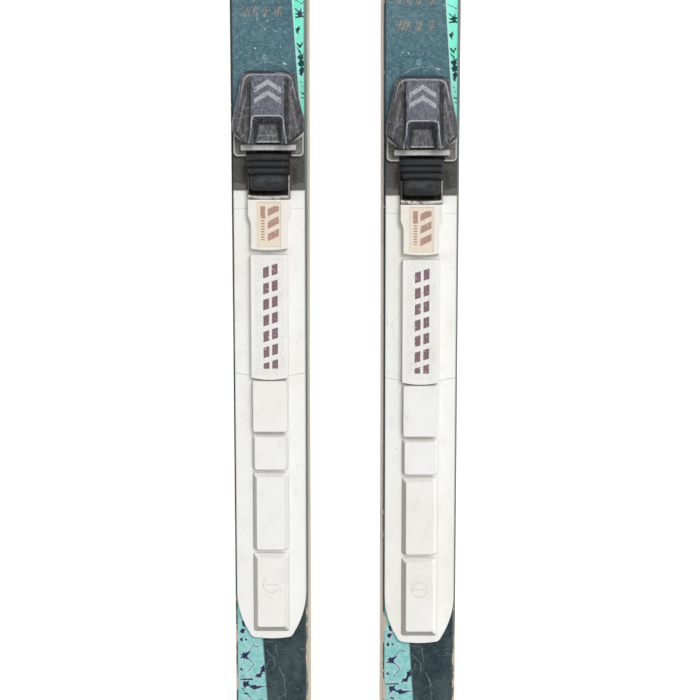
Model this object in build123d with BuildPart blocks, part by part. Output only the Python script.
from build123d import *
import math
import os

# A pair of cross-country touring skis with toe-bar bindings, standing base down on a level floor.
# Millimetres. +X to the right, +Y towards the tips, +Z up. The origin is the middle of the pair on the floor.
# Every piece is modelled once, in the frame of its own ski, and then placed on the left and the right ski.

os.makedirs("parts", exist_ok=True)

# ---------------------------------------------------------------- driving dimensions: the ski
ski_length = 1950.0
pair_spacing = 90.0  # centre line to centre line
pair_stagger = 3.0  # the right ski lies this much further back
half_length = ski_length / 2

crown_y = -150.0  # where along the ski the camber is highest
contact_half = 745.0  # from the crown to where the camber arc meets each end arc
contact_angle = math.radians(2.2)  # slope of the base at those two places
end_radius = 900.0  # upturn of the base at tip and tail
crown_radius = contact_half / math.sin(contact_angle)
camber = (crown_radius + end_radius) * (1 - math.cos(contact_angle))

waist_thickness = 24.0
end_thickness = 7.5
deck_z = camber + waist_thickness  # top of the flat mounting platform

tail_half_width = 24.3
waist_half_width = 24.5
shovel_half_width = 25.8
shovel_y = 690.0
nose_half_width = 8.0
tail_corner_r = 7.0
sidewall_slope = 3.6  # degrees that the sides lean in

base_thick = 1.2
laminate_thick = 0.9
top_sheet_thick = 0.7
sidewall_thick = 3.0
base_groove_half = 1.6
base_groove_depth = 0.7
core_front = 760.0
core_rear = -952.0
below_floor = 10.0  # the shapes that trim the ski start this far under the floor

# ---------------------------------------------------------------- driving dimensions: the binding
# Binding measures are taken from the front edge of the white sole plate and from the platform's top.
binding_y = -72.0
platform_front = 92.0
platform_rear = -290.0

bar_y = 1.2  # axis of the boot's toe bar
bar_gap_half = 2.3
plate_half = 21.1
toe_plate_thick = 4.0
toe_plate_rear = 2.3
toe_plate_front = 70.5
toe_plate_front_half = 14.0
toe_taper_y = 43.0  # from here forwards the toe plate and the housing narrow like the lever above them
step_rise = 0.5
step_front = 6.6
dish_y = 12.5
dish_x = 14.0
dish_r = 24.0
dish_depth = 0.8

housing_half = 20.6
housing_front = 57.5
housing_front_half = 16.4
housing_rear = 22.6
housing_corner = 2.6
tray_top = 6.5
rim_top = 7.3
rim_thick = 0.9
crossbar_half = 16.2
crossbar_rear = 26.4
crossbar_front = 29.8
crossbar_top = 12.5
mechanism_half = 9.0
spring_wall_top = 10.5
ear_inner = 6.8
ear_outer = 10.4
ear_top = 10.4

pivot_y = 66.0
pivot_z = 8.0
pin_r = 1.5
pin_half = 14.4
pin_clearance = 0.05

slide_half = 7.0
slide_bottom = 1.3
slide_top = 3.3
slide_clearance = 0.35
slide_front = 46.5
hook_thick = 1.8
hook_top = 9.2
ramp_half = 6.0
ramp_top = 10.5
ramp_offset = 31.3  # the 45-degree ramp face is the line z = y - ramp_offset
ramp_top_y = ramp_top + ramp_offset
ramp_foot_y = slide_top + ramp_offset

rod_z = 6.9
rod_r = 1.25
rod_bore_r = 1.6
rod_rear = 45.8
rod_front = 59.5
wire_r = 0.4
coil_r = 2.2
coil_pitch = 1.8

jaw_half = 12.4
jaw_sheet = 1.0
jaw_top = 9.3

flexor_rear = 3.7
flexor_front = 24.6
flexor_half = 12.8
flexor_base = 5.0
flexor_nose_half = 11.0

foot_half = 5.0
foot_rear = 37.0
foot_front = 40.0
foot_bottom = 9.2

pocket_floor = 17.2
pocket_floor_thick = 1.8

sole_plate_thick = 3.6
ridge_top = 9.6
ridge_half = 11.0
shoulder_half = 12.7
label_front = -2.9
label_rear = -32.1
name_pad_front = -35.7
seam_edge = -107.4
seam_ridge = -109.3
seam_middle = -110.8
heel_rear = -272.9
heel_corner = -272.1
heel_curve = -243.6
plug_y = -237.6
plug_r = 4.8

screw_r = 1.8
screw_head_r = 2.9
screw_head_high = 1.3
screw_depth = 17.0
jaw_screws = [(-9.3, 16.5), (9.3, 16.5)]
tray_screws = [(-14.0, 50.0), (14.0, 50.0)]
cover_screws = [(0.0, -11.0), (0.0, -25.0)]
heel_screws = [(0.0, plug_y)]


# ---------------------------------------------------------------- planes and small shared shapes
def deck(height):
    """Level plane, height above the platform, with its origin at the front edge of the sole plate."""
    return Plane((0, binding_y, deck_z + height))


def lengthwise(x):
    """Upright plane along the ski at x: its first axis is +Y, its second is +Z."""
    return Plane(origin=(x, binding_y, deck_z), x_dir=(0, 1, 0), z_dir=(1, 0, 0))


def crosswise(y):
    """Upright plane across the ski at binding position y: its first axis is +X, its second is +Z."""
    return Plane(origin=(0, binding_y + y, deck_z), x_dir=(1, 0, 0), z_dir=(0, -1, 0))


def block(x_range, y_range, z_range, mode=Mode.ADD):
    """Rectangular block given by its limits in the binding frame."""
    (x0, x1), (y0, y1), (z0, z1) = x_range, y_range, z_range
    with BuildSketch(deck(z0)) as foot_print:
        with Locations(((x0 + x1) / 2, (y0 + y1) / 2)):
            Rectangle(x1 - x0, y1 - y0)
    extrude(foot_print.sketch, amount=z1 - z0, mode=mode)


def side_cut(half_width, points, mode=Mode.ADD):
    """Prism across the ski whose lengthwise outline is given as (y, z) points."""
    with BuildSketch(lengthwise(-half_width)) as outline:
        with BuildLine():
            Polyline(*points, close=True)
        make_face()
    extrude(outline.sketch, amount=2 * half_width, mode=mode)


def drill(points, radius, z0, z1):
    """Round holes at the given places, from height z0 up to z1."""
    with BuildSketch(deck(z0)) as holes:
        with Locations(*points):
            Circle(radius)
    extrude(holes.sketch, amount=z1 - z0, mode=Mode.SUBTRACT)


def rounded_pad(y_range, half_widths, z_range, corner, end_slopes, mode=Mode.ADD):
    """Raised pad with sloping flanks: half_widths and end_slopes give base and top, tail end and tip end."""
    y_tail, y_tip = y_range
    tail_slope, tip_slope = end_slopes
    faces = []
    for half, z, tail_in, tip_in in (
        (half_widths[0], z_range[0], 0, 0),
        (half_widths[1], z_range[1], tail_slope, tip_slope),
    ):
        with BuildSketch(deck(z)) as face:
            with Locations((0, (y_tail + tail_in + y_tip - tip_in) / 2)):
                RectangleRounded(2 * half, y_tip - tip_in - y_tail - tail_in, corner)
        faces.append(face.sketch)
    loft(faces, mode=mode)


# ---------------------------------------------------------------- the ski's long curves
# Each long curve is a chain of circles that touch: (centre y, centre z, radius), with a negative radius
# for an arc below its centre. None is the straight platform.
def swell_circle(platform_end, end_centre_y):
    """Circle that leaves the platform level and touches the top circle of the ski's end."""
    reach = end_centre_y - platform_end
    rise = end_radius - deck_z
    end_r = end_radius - end_thickness
    radius = (reach**2 + rise**2 - end_r**2) / (2 * (end_r - rise))
    return (platform_end, deck_z - radius, radius)


tip_circle_y = crown_y + contact_half + end_radius * math.sin(contact_angle)
tail_circle_y = 2 * crown_y - tip_circle_y
platform_ends = (binding_y + platform_rear, binding_y + platform_front)


def base_curve(raised):
    """The running surface, raised by the given thickness."""
    return [
        (tail_circle_y, end_radius, raised - end_radius),
        (crown_y, camber - crown_radius, crown_radius + raised),
        (tip_circle_y, end_radius, raised - end_radius),
    ]


def top_curve(raised):
    """The top surface, raised by the given thickness (negative for a layer under it)."""
    end_r = raised - (end_radius - end_thickness)
    rear_y, rear_z, rear_r = swell_circle(platform_ends[0], tail_circle_y)
    front_y, front_z, front_r = swell_circle(platform_ends[1], tip_circle_y)
    return [
        (tail_circle_y, end_radius, end_r),
        (rear_y, rear_z, rear_r + raised),
        None,
        (front_y, front_z, front_r + raised),
        (tip_circle_y, end_radius, end_r),
    ]


def height_on(circle, y):
    """Height of the circle's arc at y."""
    centre_y, centre_z, radius = circle
    return centre_z + math.copysign(math.sqrt(radius**2 - (y - centre_y) ** 2), radius)


def draw_curve(circles, rear, front):
    """Draws the chain of arcs from rear to front and returns its two end points."""
    breaks = [rear]
    for first, second in zip(circles, circles[1:]):
        if first is None or second is None:
            breaks.append(platform_ends[0] if second is None else platform_ends[1])
        else:
            share = abs(first[2]) / (abs(first[2]) + abs(second[2]))
            breaks.append(first[0] + (second[0] - first[0]) * share)
    breaks.append(front)
    for circle, start, end in zip(circles, breaks, breaks[1:]):
        if circle is None:
            level = circles[1][1] + circles[1][2]
            Line((start, level), (end, level))
        else:
            ThreePointArc(*[(y, height_on(circle, y)) for y in (start, (start + end) / 2, end)])
    return (rear, height_on(circles[0], rear)), (front, height_on(circles[-1], front))


def layer(low_curve, high_curve, rear=-half_length - 5, front=half_length + 5):
    """Slab of the ski between two long curves, cut to the ski's outline with its sloping sides."""
    with BuildSketch(Plane(origin=(-40, 0, 0), x_dir=(0, 1, 0), z_dir=(1, 0, 0))) as profile:
        with BuildLine():
            low_ends = draw_curve(low_curve, -half_length - 5, half_length + 5)
            high_ends = draw_curve(high_curve, -half_length - 5, half_length + 5)
            Line(low_ends[0], high_ends[0])
            Line(low_ends[1], high_ends[1])
        make_face()
    extrude(profile.sketch, amount=80)
    with BuildSketch(Plane.XY.offset(-below_floor)) as span:
        with Locations((0, (rear + front) / 2)):
            Rectangle(90, front - rear)
    extrude(span.sketch, amount=120, mode=Mode.INTERSECT)
    extrude(plan_outline().sketch, amount=110, mode=Mode.INTERSECT)
    extrude(side_outline(0).sketch, amount=110, taper=sidewall_slope, mode=Mode.INTERSECT)


def plan_outline():
    """Outline of the whole ski from above, with the narrowing tip and the rounded tail corners."""
    flare = math.atan((shovel_half_width - nose_half_width) / (half_length - shovel_y)) * 2
    nose_y = half_length - nose_half_width * (1 - math.sin(flare)) / math.cos(flare)
    with BuildSketch(Plane.XY.offset(-below_floor)) as outline:
        with BuildLine():
            for side in (-1, 1):
                Line((side * shovel_half_width, shovel_y), (side * shovel_half_width, -half_length))
                TangentArc((side * shovel_half_width, shovel_y), (side * nose_half_width, nose_y), tangent=(0, 1))
            lean = (-math.sin(flare), math.cos(flare))
            TangentArc((nose_half_width, nose_y), (-nose_half_width, nose_y), tangent=lean)
            Line((-shovel_half_width, -half_length), (shovel_half_width, -half_length))
        make_face()
        fillet(outline.vertices().group_by(Axis.Y)[0], tail_corner_r)
    return outline


def side_outline(trim):
    """Outline between the two long sides a little under the floor, which run on past both ends."""
    spread = below_floor * math.tan(math.radians(sidewall_slope)) - trim
    right_side = [
        (tail_half_width + spread, -half_length - 20),
        (waist_half_width + spread, crown_y),
        (shovel_half_width + spread, shovel_y),
        (shovel_half_width + spread, half_length + 20),
    ]
    with BuildSketch(Plane.XY.offset(-below_floor)) as outline:
        with BuildLine():
            Polyline(*right_side, *[(-x, y) for x, y in reversed(right_side)], close=True)
        make_face()
    return outline


def screw_holes(z0):
    """Pilot holes of every screw, from height z0 up through the platform."""
    drill(jaw_screws + tray_screws + cover_screws + heel_screws, screw_r, z0, 5)


def save(piece):
    """Writes the piece once for each ski."""
    for side, sign in (("left", -1), ("right", 1)):
        placed = piece.moved(Location((sign * pair_spacing / 2, -sign * pair_stagger / 2, 0)))
        placed.label = f"{side}_{piece.label}"
        export_step(placed, f"parts/{placed.label}.step")


# ---------------------------------------------------------------- ski layers, from the base up
core_low = base_curve(base_thick + laminate_thick)
core_high = top_curve(-top_sheet_thick - laminate_thick)

with BuildPart() as running_base:
    layer(base_curve(0), base_curve(base_thick))
    with BuildSketch(Plane(origin=(-base_groove_half, 0, 0), x_dir=(0, 1, 0), z_dir=(1, 0, 0))) as groove:
        with BuildLine():
            bed = draw_curve(base_curve(base_groove_depth), -half_length - 5, tip_circle_y)
            Polyline(bed[1], (tip_circle_y, -5), (-half_length - 5, -5), bed[0])
        make_face()
    extrude(groove.sketch, amount=2 * base_groove_half, mode=Mode.SUBTRACT)
running_base.part.label = "running_base"
save(running_base.part)

with BuildPart() as lower_laminate:
    layer(base_curve(base_thick), core_low)
lower_laminate.part.label = "lower_laminate"
save(lower_laminate.part)

with BuildPart() as upper_laminate:
    layer(core_high, top_curve(-top_sheet_thick))
    screw_holes(-screw_depth)
upper_laminate.part.label = "upper_laminate"
save(upper_laminate.part)

with BuildPart() as top_sheet:
    layer(top_curve(-top_sheet_thick), top_curve(0))
    screw_holes(-screw_depth)
top_sheet.part.label = "top_sheet"
save(top_sheet.part)

with BuildPart() as wood_core:
    layer(core_low, core_high, core_rear, core_front)
    extrude(side_outline(sidewall_thick).sketch, amount=110, taper=sidewall_slope, mode=Mode.INTERSECT)
    screw_holes(-screw_depth)
wood_core.part.label = "wood_core"
save(wood_core.part)

with BuildPart() as sidewalls:
    layer(core_low, core_high, core_rear, core_front)
    extrude(side_outline(sidewall_thick).sketch, amount=110, taper=sidewall_slope, mode=Mode.SUBTRACT)
sidewalls.part.label = "sidewalls"
save(sidewalls.part)

with BuildPart() as tail_protector:
    layer(core_low, core_high, front=core_rear)
tail_protector.part.label = "tail_protector"
save(tail_protector.part)

with BuildPart() as tip_spacer:
    layer(core_low, core_high, rear=core_front)
tip_spacer.part.label = "tip_spacer"
save(tip_spacer.part)

# ---------------------------------------------------------------- toe unit
def tapered_outline(height, rear, front, half, front_half, rear_corner=0.0, inset=0.0):
    """Outline that runs straight to the taper and then narrows to its front edge."""
    with BuildSketch(deck(height)) as outline:
        with BuildLine():
            right_side = [
                (half - inset, rear + inset),
                (half - inset, toe_taper_y),
                (front_half - inset, front),
            ]
            Polyline(*right_side, *[(-x, y) for x, y in reversed(right_side)], close=True)
        make_face()
        if rear_corner:
            fillet(outline.vertices().group_by(Axis.Y)[0], rear_corner - inset)
    return outline


with BuildPart() as toe_plate:
    plate_face = tapered_outline(0, toe_plate_rear, toe_plate_front, plate_half, toe_plate_front_half)
    extrude(plate_face.sketch, amount=toe_plate_thick)
    fillet(toe_plate.edges().filter_by(Axis.Z).group_by(Axis.Y)[-1], 4.5)
    fillet(toe_plate.edges().filter_by(Axis.Z).group_by(Axis.Y)[1], 12)
    channel_half = slide_half + slide_clearance
    channel_floor = slide_bottom - 0.3
    block((-channel_half, channel_half), (toe_plate_rear, housing_front), (channel_floor, 5), Mode.SUBTRACT)
    for side in (-1, 1):
        # raised step along the rear edge and a shallow dish beside the flexor
        step_x = sorted((side * (jaw_half + 0.8), side * plate_half))
        block(step_x, (toe_plate_rear, step_front), (toe_plate_thick, toe_plate_thick + step_rise))
        dish_z = deck_z + toe_plate_thick - dish_depth + dish_r
        with Locations((side * dish_x, binding_y + dish_y, dish_z)):
            Sphere(dish_r, mode=Mode.SUBTRACT)
    drill(jaw_screws + tray_screws, screw_r, -1, 6)
toe_plate.part.label = "toe_plate"
save(toe_plate.part)

with BuildPart() as fixed_jaw:
    block((-jaw_half, jaw_half), (-1.1, 20.5), (toe_plate_thick, flexor_base))
    block((-slide_half - 0.4, slide_half + 0.4), (3.1, 11.2), (3, 6), Mode.SUBTRACT)
    with BuildSketch(deck(toe_plate_thick)) as rear_lip:
        with BuildLine():
            Polyline((-jaw_half, -1.6), (-jaw_half, -1.1), (jaw_half, -1.1), (jaw_half, -1.6))
            ThreePointArc((-jaw_half, -1.6), (0, -2.7), (jaw_half, -1.6))
        make_face()
    extrude(rear_lip.sketch, amount=jaw_top - toe_plate_thick)
    for side in (-1, 1):
        cheek_x = sorted((side * (jaw_half - jaw_sheet), side * jaw_half))
        block(cheek_x, (-1.6, 11.5), (flexor_base, jaw_top))
    drill(jaw_screws, screw_r, 3, 6)
fixed_jaw.part.label = "fixed_jaw"
save(fixed_jaw.part)

with BuildPart() as jaw_slide:
    hook_rear = bar_y + bar_gap_half
    block((-slide_half, slide_half), (hook_rear, slide_front), (slide_bottom, slide_top))
    block((-slide_half, slide_half), (hook_rear, hook_rear + hook_thick), (slide_top, hook_top))
    side_cut(ramp_half, [
        (ramp_foot_y, slide_top),
        (ramp_top_y, ramp_top),
        (slide_front, ramp_top),
        (slide_front, slide_top),
    ])
    with BuildSketch(crosswise(slide_front)) as rod_bore:
        with Locations((0, rod_z)):
            Circle(rod_bore_r)
    extrude(rod_bore.sketch, amount=5.8, mode=Mode.SUBTRACT)
    fillet(jaw_slide.edges().filter_by(Axis.X).group_by(Axis.Z)[-1][0], 0.8)
jaw_slide.part.label = "jaw_slide"
save(jaw_slide.part)

with BuildPart() as toe_housing:
    tray_sizes = (housing_rear, housing_front, housing_half, housing_front_half, housing_corner)
    tray_face = tapered_outline(toe_plate_thick, *tray_sizes)
    extrude(tray_face.sketch, amount=rim_top - toe_plate_thick)
    tray_hollow = tapered_outline(tray_top, *tray_sizes, inset=rim_thick)
    extrude(tray_hollow.sketch, amount=2, mode=Mode.SUBTRACT)
    flexor_gap = flexor_half + 0.5
    block((-flexor_gap, flexor_gap), (housing_rear - 1, flexor_front + 1.0), (3, 9), Mode.SUBTRACT)
    block((-crossbar_half, crossbar_half), (crossbar_rear, crossbar_front), (tray_top, crossbar_top))
    fillet(toe_housing.edges().filter_by(Axis.X).group_by(Axis.Z)[-1], 0.6)
    block((-mechanism_half, mechanism_half), (31, housing_front + 1), (3, 9), Mode.SUBTRACT)
    block((-ear_outer, ear_outer), (housing_front - 0.5, rod_front), (toe_plate_thick, spring_wall_top))
    for side in (-1, 1):
        ear_x = sorted((side * ear_inner, side * ear_outer))
        block(ear_x, (rod_front, pivot_y + 2.6), (toe_plate_thick, ear_top))
    with BuildSketch(lengthwise(-ear_outer - 1)) as pin_bore:
        with Locations((pivot_y, pivot_z)):
            Circle(pin_r)
    extrude(pin_bore.sketch, amount=2 * ear_outer + 2, mode=Mode.SUBTRACT)
    with BuildSketch(crosswise(rod_front + 1)) as rod_seat:
        with Locations((0, rod_z)):
            Circle(rod_r)
    extrude(rod_seat.sketch, amount=4, mode=Mode.SUBTRACT)
    drill(tray_screws, screw_r, 3, 9)
toe_housing.part.label = "toe_housing"
save(toe_housing.part)

with BuildPart() as spring_rod:
    with BuildSketch(crosswise(rod_front)) as rod_end:
        with Locations((0, rod_z)):
            Circle(rod_r)
    extrude(rod_end.sketch, amount=rod_front - rod_rear)
    chamfer(spring_rod.edges().group_by(Axis.Y)[0], 0.4)
spring_rod.part.label = "spring_rod"
save(spring_rod.part)

with BuildPart() as return_spring:
    coil_start = slide_front + 0.2 + wire_r
    coil_length = housing_front - 0.7 - wire_r - coil_start
    coil_centre = (0, binding_y + coil_start, deck_z + rod_z)
    with BuildLine() as coil:
        Helix(pitch=coil_pitch, height=coil_length, radius=coil_r, center=coil_centre, direction=(0, 1, 0))
    with BuildSketch(Plane(origin=coil.line @ 0, z_dir=coil.line % 0)) as wire:
        Circle(wire_r)
    sweep(wire.sketch, path=coil.line, is_frenet=True)
return_spring.part.label = "return_spring"
save(return_spring.part)

with BuildPart() as lever_pin:
    with BuildSketch(lengthwise(-pin_half)) as pin_end:
        with Locations((pivot_y, pivot_z)):
            Circle(pin_r)
    extrude(pin_end.sketch, amount=2 * pin_half)
    chamfer(lever_pin.edges().filter_by(GeomType.CIRCLE), 0.3)
lever_pin.part.label = "lever_pin"
save(lever_pin.part)

# The lever's outer sections from front to rear: y, then half widths and heights of the outer flank,
# the shoulder line, the valley beside the middle panel, and the middle panel itself.
lever_sections = [
    (72.4, (12.4, 9.0), (11.6, 11.0), (10.4, 11.6), (9.0, 12.0)),
    (70.2, (14.9, 10.5), (13.9, 12.9), (11.6, 13.9), (9.2, 14.8)),
    (58.8, (17.5, 11.8), (16.0, 15.0), (11.9, 16.4), (9.3, 18.3)),
    (48.3, (20.0, 13.2), (17.8, 17.0), (12.4, 19.2), (9.5, 21.9)),
    (41.3, (21.2, 14.2), (18.9, 18.0), (12.8, 20.6), (9.8, 23.6)),
    (37.0, (21.0, 15.0), (18.8, 18.6), (12.9, 21.0), (10.0, 24.2)),
    (30.9, (12.6, 18.6), (12.2, 20.0), (11.4, 21.2), (10.2, 23.6)),
]


def lever_face(y, right_side):
    """Closed section of the lever at y, from its right-hand points and their mirror images."""
    with BuildSketch(crosswise(y)) as face:
        with BuildLine():
            Polyline(*right_side, *[(-x, z) for x, z in reversed(right_side)], close=True)
        make_face()
    return face.sketch


with BuildPart() as lever:
    loft([lever_face(y, [(flank[0], 3), flank, *rest]) for y, flank, *rest in lever_sections], ruled=True)
    hollow_faces = []
    for y, flank, shoulder, valley, panel in lever_sections[1:]:
        hollow_y = max(y - 0.3, 33.2)
        wall = 2.2
        right_side = [(flank[0] - wall, 2), (flank[0] - wall, flank[1] - 0.6), (valley[0] - 1.2, valley[1] - 2.4)]
        hollow_faces.append(lever_face(hollow_y, right_side))
    loft(hollow_faces, ruled=True, mode=Mode.SUBTRACT)
    # tub under the pocket, then the pocket itself, open at the rear over a low sill
    tub_bottom = pocket_floor - pocket_floor_thick
    block((-8.4, 8.4), (32.0, 47.5), (tub_bottom, 20.5))
    rounded_pad((29.0, 41.7), (5.4, 9.2), (pocket_floor, 24.8), 1.6, (0, -5.2), Mode.SUBTRACT)
    # the skirts rise towards the rear, so that the lever can be pressed
    side_cut(25, [
        (75, 5.2), (60.3, 5.6), (57.8, 9.9), (34.8, 14.0), (32.4, 16.0), (31.9, 18.6), (30.6, 19.4),
        (20, 19.4), (20, -1), (75, -1),
    ], Mode.SUBTRACT)
    side_cut(foot_half, [
        (foot_rear, foot_bottom), (foot_front, foot_bottom), (foot_front + 1.5, tub_bottom + 0.5),
        (foot_rear - 1.5, tub_bottom + 0.5),
    ])
    with BuildSketch(lengthwise(-20)) as pin_hole:
        with Locations((pivot_y, pivot_z)):
            Circle(pin_r + pin_clearance)
    extrude(pin_hole.sketch, amount=40, mode=Mode.SUBTRACT)
lever.part.label = "lever"
save(lever.part)


def rib(rear, front, half, top, corner):
    """Part of the flexor with a level top and rounded long edges."""
    with BuildSketch(crosswise(front)) as face:
        with Locations((0, (flexor_base + top) / 2)):
            Rectangle(2 * half, top - flexor_base)
        fillet(face.vertices().group_by(Axis.Y)[-1], corner)
    extrude(face.sketch, amount=front - rear)


with BuildPart() as flexor:
    rib(flexor_rear, 24.3, flexor_nose_half, 13.6, 1.6)
    side_cut(jaw_half, [(3, 9.8), (4.6, 12.2), (7.5, 13.3), (10, 13.6), (10, 20), (3, 20)], Mode.SUBTRACT)
    rib(12.9, 16.5, 11.8, 14.6, 1.4)
    rib(17.3, 20.4, 12.6, 15.3, 1.4)
    rib(21.2, flexor_front, flexor_half, 15.8, 1.4)
    block((-slide_half - 0.6, slide_half + 0.6), (3, 11.2), (4, 9.9), Mode.SUBTRACT)
    drill(jaw_screws, screw_head_r + 0.1, 4, flexor_base + screw_head_high + 0.2)
flexor.part.label = "flexor"
save(flexor.part)


def screws(places, seat, length):
    """Pan-head screws standing in their holes, with a cross slot in each head."""
    with BuildSketch(deck(seat - length)) as shanks:
        with Locations(*places):
            Circle(screw_r)
    extrude(shanks.sketch, amount=length)
    with BuildSketch(deck(seat)) as heads:
        with Locations(*places):
            Circle(screw_head_r)
    extrude(heads.sketch, amount=screw_head_high)
    with BuildSketch(deck(seat + screw_head_high)) as slots:
        with Locations(*places):
            Rectangle(4.0, 0.9)
            Rectangle(0.9, 4.0)
    extrude(slots.sketch, amount=-1.0, mode=Mode.SUBTRACT)


with BuildPart() as toe_screws:
    screws(jaw_screws, flexor_base, flexor_base + screw_depth)
    screws(tray_screws, tray_top, tray_top + screw_depth)
toe_screws.part.label = "toe_screws"
save(toe_screws.part)

# ---------------------------------------------------------------- sole plates
with BuildPart() as front_plate:
    with BuildSketch(deck(0)) as plate_outline:
        with BuildLine():
            front_edge = 2.2
            Polyline(
                (-plate_half, seam_edge), (-plate_half, front_edge), (plate_half, front_edge),
                (plate_half, seam_edge), (ridge_half, seam_ridge),
            )
            ThreePointArc((ridge_half, seam_ridge), (0, seam_middle), (-ridge_half, seam_ridge))
            Line((-ridge_half, seam_ridge), (-plate_half, seam_edge))
        make_face()
    extrude(plate_outline.sketch, amount=sole_plate_thick)
    # room for the steel jaw, and the shallow line across the plate
    block((-jaw_half - 0.2, jaw_half + 0.2), (-2.85, 5), (-1, 6), Mode.SUBTRACT)
    for side in (-1, 1):
        line_x = sorted((side * shoulder_half, side * 25))
        block(line_x, (-8.9, -8.5), (sole_plate_thick - 0.3, 5), Mode.SUBTRACT)
    with BuildSketch(deck(sole_plate_thick)) as name_pad:
        with BuildLine():
            ThreePointArc((ridge_half, seam_ridge), (0, seam_middle), (-ridge_half, seam_ridge))
            Polyline(
                (-ridge_half, seam_ridge), (-ridge_half, name_pad_front), (ridge_half, name_pad_front),
                (ridge_half, seam_ridge),
            )
        make_face()
    extrude(name_pad.sketch, amount=ridge_top - 0.2 - sole_plate_thick)
    drill(cover_screws, screw_r, -1, 6)
front_plate.part.label = "front_plate"
save(front_plate.part)


def cover_outline(height, inset):
    """Outline of the label cover: broad shoulders in front, then the width of the ridge."""
    with BuildSketch(deck(height)) as outline:
        with BuildLine():
            right_side = [
                (shoulder_half - inset, label_front), (shoulder_half - inset, -12.2), (ridge_half - inset, -17.0),
                (ridge_half - inset, label_rear),
            ]
            Polyline((-right_side[0][0], label_front), *right_side)
            ThreePointArc(right_side[-1], (0, label_rear - 1.0), (-right_side[-1][0], label_rear))
            Polyline(*[(-x, y) for x, y in reversed(right_side)])
        make_face()
    return outline.sketch


with BuildPart() as label_cover:
    extrude(cover_outline(sole_plate_thick, 0), amount=ridge_top - sole_plate_thick)
    fillet(label_cover.edges().group_by(Axis.Z)[-1], 0.7)
    block((-8.5, 8.5), (-29.5, -5.5), (3, ridge_top - 2), Mode.SUBTRACT)
    block((-7.1, 7.1), (-31.0, -4.2), (ridge_top - 0.5, ridge_top + 1), Mode.SUBTRACT)
label_cover.part.label = "label_cover"
save(label_cover.part)

with BuildPart() as label_inlay:
    block((-7.1, 7.1), (-31.0, -4.2), (ridge_top - 0.5, ridge_top - 0.2))
label_inlay.part.label = "label_inlay"
save(label_inlay.part)

with BuildPart() as heel_plate:
    with BuildSketch(deck(0)) as heel_outline:
        with BuildLine():
            gap = 0.15
            ThreePointArc((ridge_half, seam_ridge - gap), (0, seam_middle - gap), (-ridge_half, seam_ridge - gap))
            for side in (-1, 1):
                Polyline((side * ridge_half, seam_ridge - gap), (side * plate_half, seam_edge - gap),
                         (side * plate_half, heel_curve))
                ThreePointArc((side * plate_half, heel_curve), (side * 17.0, -262.4), (side * 13.4, -269.4))
                TangentArc((side * 10.2, heel_corner), (side * 13.4, -269.4), tangent=(side, 0.16))
            ThreePointArc((-10.2, heel_corner), (0, heel_rear), (10.2, heel_corner))
        make_face()
    extrude(heel_outline.sketch, amount=sole_plate_thick)
    # the four pads: tail end, tip end, half width on top, slope of the tip flank, slope of the tail flank
    for rear, front, top_half, tip_in, tail_in in (
        (-142.9, -111.6, 10.2, 0.0, 0.5),
        (-166.5, -144.8, 9.4, 1.0, 0.8),
        (-216.6, -168.4, 8.4, 2.0, 1.2),
        (-268.2, -218.4, 8.2, 2.2, 4.4),
    ):
        rounded_pad((rear, front), (ridge_half, top_half), (sole_plate_thick, ridge_top), 1.5, (tail_in, tip_in))
    drill([(0, plug_y)], plug_r, sole_plate_thick + 1.2, 12)
    drill(heel_screws, screw_r, -1, 12)
heel_plate.part.label = "heel_plate"
save(heel_plate.part)

with BuildPart() as screw_plug:
    plug_seat = sole_plate_thick + 1.2 + screw_head_high + 0.3
    with BuildSketch(deck(plug_seat)) as plug_outline:
        with Locations((0, plug_y)):
            Circle(plug_r)
    extrude(plug_outline.sketch, amount=ridge_top - plug_seat)
    fillet(screw_plug.edges().group_by(Axis.Z)[-1], 0.35)
    block((-3.4, 3.4), (plug_y - 0.45, plug_y + 0.45), (ridge_top - 0.7, ridge_top + 1), Mode.SUBTRACT)
screw_plug.part.label = "screw_plug"
save(screw_plug.part)

with BuildPart() as plate_screws:
    screws(cover_screws, sole_plate_thick, sole_plate_thick + screw_depth)
plate_screws.part.label = "plate_screws"
save(plate_screws.part)

with BuildPart() as heel_screw:
    screws(heel_screws, sole_plate_thick + 1.2, sole_plate_thick + 1.2 + screw_depth)
heel_screw.part.label = "heel_screw"
save(heel_screw.part)
